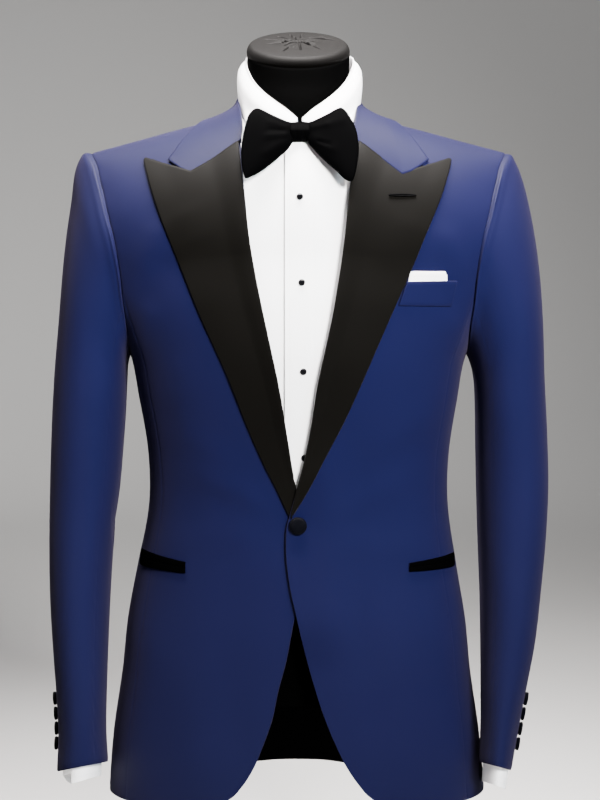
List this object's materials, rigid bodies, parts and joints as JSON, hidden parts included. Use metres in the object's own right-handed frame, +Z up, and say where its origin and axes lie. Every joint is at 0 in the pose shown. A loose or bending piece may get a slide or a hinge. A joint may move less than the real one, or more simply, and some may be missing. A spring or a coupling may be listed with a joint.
{
  "type": "tuxedo on a limbless dress form",
  "caption": "Dinner jacket with satin peak lapels, dress shirt and bow tie, worn by a limbless dress form on a round stand.",
  "frame": {"origin": "centre of the stand's underside, on the ground", "axes": "+Z up; -Y the way the jacket's front faces; +X the wearer's left"},
  "size_m": [0.533, 0.33, 0.9685],
  "materials": {
    "blue_wool": "fine smooth wool",
    "black_satin": "satin",
    "white_cotton": "plain weave cotton",
    "black_stud": "gloss",
    "form_jersey": "knitted cover",
    "cap_cloth": "gathered cloth",
    "stand_steel": "satin black paint"
  },
  "bodies": {
    "root": {"back_left": "blue_wool", "back_right": "blue_wool", "breast_welt": "blue_wool", "collar": "blue_wool", "form_torso": "form_jersey", "front_button": "black_satin", "front_left": "blue_wool", "front_right": "blue_wool", "hip_welt_left": "black_satin", "hip_welt_right": "black_satin", "lapel_left": "black_satin", "lapel_right": "black_satin", "lining_back": "black_satin", "neck_cap": "cap_cloth", "pocket_square": "white_cotton", "shirt_back": "white_cotton", "shirt_collar": "white_cotton", "shirt_cuff_left": "white_cotton", "shirt_cuff_right": "white_cotton", "shirt_front_left": "white_cotton", "shirt_front_right": "white_cotton", "shirt_sleeve_left": "white_cotton", "shirt_sleeve_right": "white_cotton", "side_left": "blue_wool", "side_right": "blue_wool", "sleeve_button_left_1": "black_satin", "sleeve_button_left_2": "black_satin", "sleeve_button_left_3": "black_satin", "sleeve_button_left_4": "black_satin", "sleeve_button_right_1": "black_satin", "sleeve_button_right_2": "black_satin", "sleeve_button_right_3": "black_satin", "sleeve_button_right_4": "black_satin", "stand_base": "stand_steel", "stand_post_left": "stand_steel", "stand_post_right": "stand_steel", "stud_1": "black_stud", "stud_2": "black_stud", "stud_3": "black_stud", "stud_4": "black_stud", "tie_knot": "black_satin", "tie_wing_left": "black_satin", "tie_wing_right": "black_satin", "topsleeve_left": "blue_wool", "topsleeve_right": "blue_wool", "undersleeve_left": "blue_wool", "undersleeve_right": "blue_wool"}
  },
  "joints": []
}
